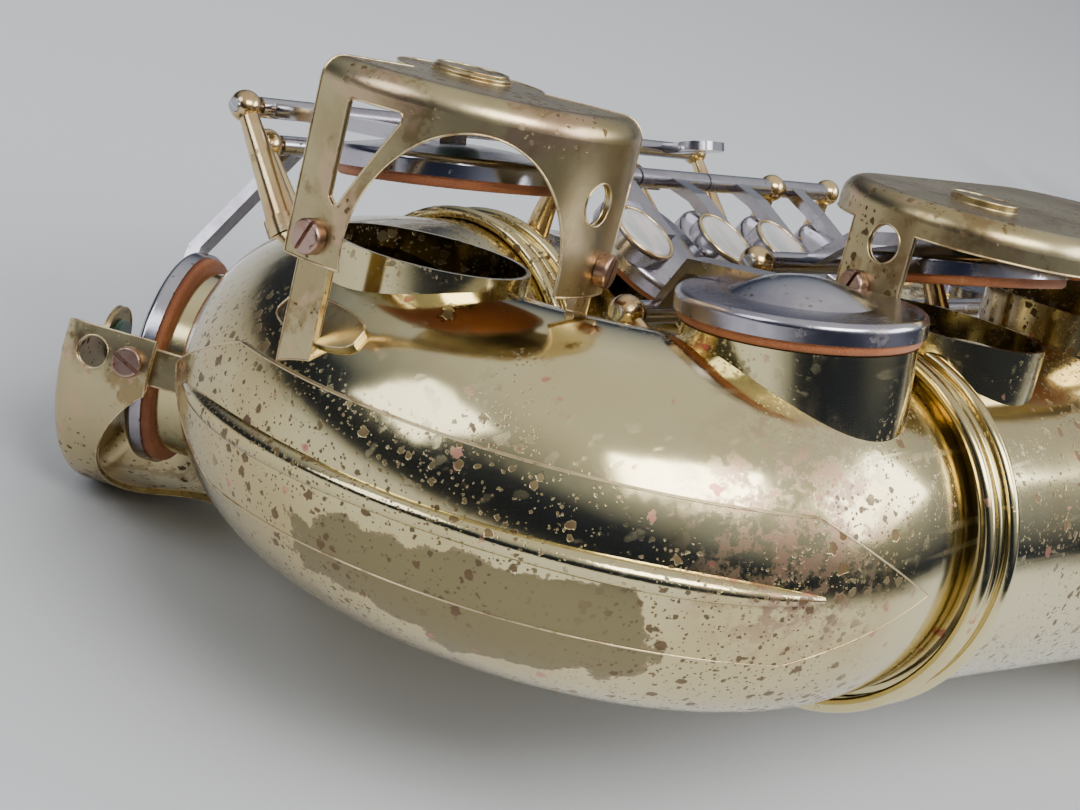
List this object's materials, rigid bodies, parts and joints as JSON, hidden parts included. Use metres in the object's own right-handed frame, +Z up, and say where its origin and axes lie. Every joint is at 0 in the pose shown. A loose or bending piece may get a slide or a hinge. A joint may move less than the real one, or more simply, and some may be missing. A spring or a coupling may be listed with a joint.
{
  "type": "tenor saxophone",
  "caption": "Tenor saxophone lying on its side: brass body, bow and bell, sprung pad keys under sheet guards, swivelling neck with cork.",
  "frame": {"origin": "middle of the horn's bounding box, on the surface that it lies on", "axes": "+X from the bow towards the neck along the horn, +Z up, which is the player's right; -Y is the bell's side"},
  "size_m": [0.8524, 0.3464, 0.1629],
  "materials": {
    "body_brass": "worn pale gold lacquer with dark specks",
    "guard_brass": "bare, dull sheet brass",
    "post_brass": "turned brass, lightly tarnished",
    "nickel": "worn nickel plate",
    "pad_leather": "tan leather over felt",
    "pearl": "mother of pearl",
    "screw_copper": "reddened, slotted heads",
    "rod_steel": "ground steel",
    "felt": "dark green felt",
    "cork": "cork"
  },
  "bodies": {
    "root": {"body_tube": "body_brass", "bow_tube": "body_brass", "bell": "body_brass", "body_bow_ring": "body_brass", "bell_bow_ring": "body_brass", "bow_guard_plate": "body_brass", "bow_rib": "body_brass", "bell_brace": "body_brass", "neck_receiver": "body_brass", "strap_ring": "body_brass", "thumb_hook": "body_brass", "thumb_rest": "body_brass", "low_c_guard": "guard_brass", "low_eb_guard": "guard_brass", "bell_key_guard": "guard_brass", "guard_brackets": "guard_brass", "guard_screws": "screw_copper", "body_posts": "post_brass", "bow_posts": "post_brass", "bell_posts": "post_brass", "hinge_rods": "rod_steel", "guard_bumpers": "felt"},
    "low_c": {"low_c_key": "nickel", "low_c_pad": "pad_leather"},
    "low_e_flat": {"low_e_flat_key": "nickel", "low_e_flat_pad": "pad_leather"},
    "low_c_sharp": {"low_c_sharp_key": "nickel", "low_c_sharp_pad": "pad_leather"},
    "low_b": {"low_b_key": "nickel", "low_b_pad": "pad_leather"},
    "low_b_flat": {"low_b_flat_key": "nickel", "low_b_flat_pad": "pad_leather"},
    "d": {"d_key": "nickel", "d_pad": "pad_leather", "d_pearl": "pearl"},
    "e": {"e_key": "nickel", "e_pad": "pad_leather", "e_pearl": "pearl"},
    "f": {"f_key": "nickel", "f_pad": "pad_leather", "f_pearl": "pearl"},
    "f_sharp": {"f_sharp_key": "nickel", "f_sharp_pad": "pad_leather"},
    "g_sharp": {"g_sharp_key": "nickel"},
    "g": {"g_key": "nickel"},
    "a": {"a_key": "nickel"},
    "b": {"b_key": "nickel"},
    "small_c": {"small_c_key": "nickel"},
    "side_b_flat": {"side_b_flat_key": "nickel"},
    "side_c": {"side_c_key": "nickel"},
    "side_e": {"side_e_key": "nickel"},
    "palm_d": {"palm_d_key": "nickel"},
    "palm_e_flat": {"palm_e_flat_key": "nickel"},
    "palm_f": {"palm_f_key": "nickel"},
    "octave": {"octave_key": "nickel"},
    "neck": {"neck_tube": "body_brass", "neck_cork": "cork", "neck_key_rod": "rod_steel"},
    "neck_octave": {"neck_octave_key": "nickel"},
    "clamp_screw": {"neck_clamp_screw": "screw_copper"}
  },
  "joints": [
    {"name": "low_c_hinge", "type": "hinge", "parent": "root", "child": "low_c", "pos_m": [-0.26002, 0.09089, 0.08897], "axis": [0.9992, -0.0118, -0.039], "range_deg": [0, 9.3], "stiffness_Nm_per_rad": 0.2, "springref_deg": -45.84},
    {"name": "low_e_flat_hinge", "type": "hinge", "parent": "root", "child": "low_e_flat", "pos_m": [-0.26888, 0.08981, 0.08027], "axis": [0.9992, -0.0118, -0.039], "range_deg": [0, 9], "stiffness_Nm_per_rad": 0.2, "springref_deg": -45.84},
    {"name": "low_c_sharp_hinge", "type": "hinge", "parent": "root", "child": "low_c_sharp", "pos_m": [-0.24964, -0.02268, 0.10731], "axis": [-0.9992, 0.0118, 0.039], "range_deg": [0, 13], "stiffness_Nm_per_rad": 0.2, "springref_deg": -45.84},
    {"name": "low_b_hinge", "type": "hinge", "parent": "root", "child": "low_b", "pos_m": [-0.22167, -0.02144, 0.11829], "axis": [0.9992, -0.0118, -0.039], "range_deg": [0, 13.5], "stiffness_Nm_per_rad": 0.2, "springref_deg": -45.84},
    {"name": "low_b_flat_hinge", "type": "hinge", "parent": "root", "child": "low_b_flat", "pos_m": [-0.17726, -0.02547, 0.12912], "axis": [0.9992, -0.0118, -0.039], "range_deg": [0, 11], "stiffness_Nm_per_rad": 0.2, "springref_deg": -45.84},
    {"name": "d_hinge", "type": "hinge", "parent": "root", "child": "d", "pos_m": [-0.28303, 0.04265, 0.10564], "axis": [0.9992, -0.0118, -0.039], "range_deg": [0, 9], "stiffness_Nm_per_rad": 0.05, "springref_deg": -34.38},
    {"name": "e_hinge", "type": "hinge", "parent": "root", "child": "e", "pos_m": [-0.25084, 0.04226, 0.10438], "axis": [0.9992, -0.0118, -0.039], "range_deg": [0, 9], "stiffness_Nm_per_rad": 0.05, "springref_deg": -34.38},
    {"name": "f_hinge", "type": "hinge", "parent": "root", "child": "f", "pos_m": [-0.21654, 0.04186, 0.10304], "axis": [0.9992, -0.0118, -0.039], "range_deg": [0, 9], "stiffness_Nm_per_rad": 0.05, "springref_deg": -34.38},
    {"name": "f_sharp_hinge", "type": "hinge", "parent": "root", "child": "f_sharp", "pos_m": [-0.18254, 0.04146, 0.10172], "axis": [0.9992, -0.0118, -0.039], "range_deg": [0, 9], "stiffness_Nm_per_rad": 0.05, "springref_deg": -34.38},
    {"name": "g_sharp_hinge", "type": "hinge", "parent": "root", "child": "g_sharp", "pos_m": [-0.12472, 0.0061, 0.08101], "axis": [-0.9992, 0.0118, 0.039], "range_deg": [0, 14], "stiffness_Nm_per_rad": 0.05, "springref_deg": -34.38},
    {"name": "g_hinge", "type": "hinge", "parent": "root", "child": "g", "pos_m": [-0.06941, 0.03548, 0.0872], "axis": [0.9992, -0.0118, -0.039], "range_deg": [0, 9], "stiffness_Nm_per_rad": 0.05, "springref_deg": -34.38},
    {"name": "a_hinge", "type": "hinge", "parent": "root", "child": "a", "pos_m": [-0.03252, 0.03504, 0.08576], "axis": [0.9992, -0.0118, -0.039], "range_deg": [0, 9], "stiffness_Nm_per_rad": 0.05, "springref_deg": -34.38},
    {"name": "b_hinge", "type": "hinge", "parent": "root", "child": "b", "pos_m": [-0.00004, 0.03466, 0.08449], "axis": [0.9992, -0.0118, -0.039], "range_deg": [0, 9], "stiffness_Nm_per_rad": 0.05, "springref_deg": -34.38},
    {"name": "small_c_hinge", "type": "hinge", "parent": "root", "child": "small_c", "pos_m": [0.03001, 0.0343, 0.08331], "axis": [0.9992, -0.0118, -0.039], "range_deg": [0, 8], "stiffness_Nm_per_rad": 0.05, "springref_deg": -34.38},
    {"name": "side_b_flat_hinge", "type": "hinge", "parent": "root", "child": "side_b_flat", "pos_m": [-0.0704, 0.07226, 0.05516], "axis": [-0.9992, 0.0118, 0.039], "range_deg": [0, 14], "stiffness_Nm_per_rad": 0.05, "springref_deg": -34.38},
    {"name": "side_c_hinge", "type": "hinge", "parent": "root", "child": "side_c", "pos_m": [-0.03823, 0.07544, 0.04498], "axis": [-0.9992, 0.0118, 0.039], "range_deg": [0, 12], "stiffness_Nm_per_rad": 0.05, "springref_deg": -34.38},
    {"name": "side_e_hinge", "type": "hinge", "parent": "root", "child": "side_e", "pos_m": [0.01691, 0.07883, 0.03375], "axis": [-0.9992, 0.0118, 0.039], "range_deg": [0, 9], "stiffness_Nm_per_rad": 0.05, "springref_deg": -34.38},
    {"name": "palm_d_hinge", "type": "hinge", "parent": "root", "child": "palm_d", "pos_m": [0.0952, 0.01, 0.00905], "axis": [-0.9992, 0.0118, 0.039], "range_deg": [0, 12], "stiffness_Nm_per_rad": 0.05, "springref_deg": -34.38},
    {"name": "palm_e_flat_hinge", "type": "hinge", "parent": "root", "child": "palm_e_flat", "pos_m": [0.14614, 0.01661, 0.00443], "axis": [-0.9992, 0.0118, 0.039], "range_deg": [0, 12], "stiffness_Nm_per_rad": 0.05, "springref_deg": -34.38},
    {"name": "palm_f_hinge", "type": "hinge", "parent": "root", "child": "palm_f", "pos_m": [0.18722, 0.00976, 0.00769], "axis": [-0.9992, 0.0118, 0.039], "range_deg": [0, 12], "stiffness_Nm_per_rad": 0.05, "springref_deg": -34.38},
    {"name": "octave_hinge", "type": "hinge", "parent": "root", "child": "octave", "pos_m": [0.18766, 0.05197, 0.01893], "axis": [-0.9992, 0.0118, 0.039], "range_deg": [0, 6], "stiffness_Nm_per_rad": 0.05, "springref_deg": -34.38},
    {"name": "neck_swivel", "type": "hinge", "parent": "root", "child": "neck", "pos_m": [0.32295, 0.02925, 0.03051], "axis": [0.9992, -0.0118, -0.039], "range_deg": [-60, 60]},
    {"name": "neck_octave_hinge", "type": "hinge", "parent": "neck", "child": "neck_octave", "pos_m": [0.40009, 0.03311, 0.02861], "axis": [-0.0353, 0.2272, -0.9732], "range_deg": [0, 3], "stiffness_Nm_per_rad": 0.05, "springref_deg": -34.38},
    {"name": "clamp_screw_turn", "type": "hinge", "parent": "root", "child": "clamp_screw", "pos_m": [0.31896, 0.04882, 0.02474], "axis": [0.0408, 0.2902, 0.9561], "range_deg": [0, 180]}
  ],
  "couplings": [
    {"joint": "f_sharp_hinge", "follows": "f_hinge", "ratio": 1}
  ]
}
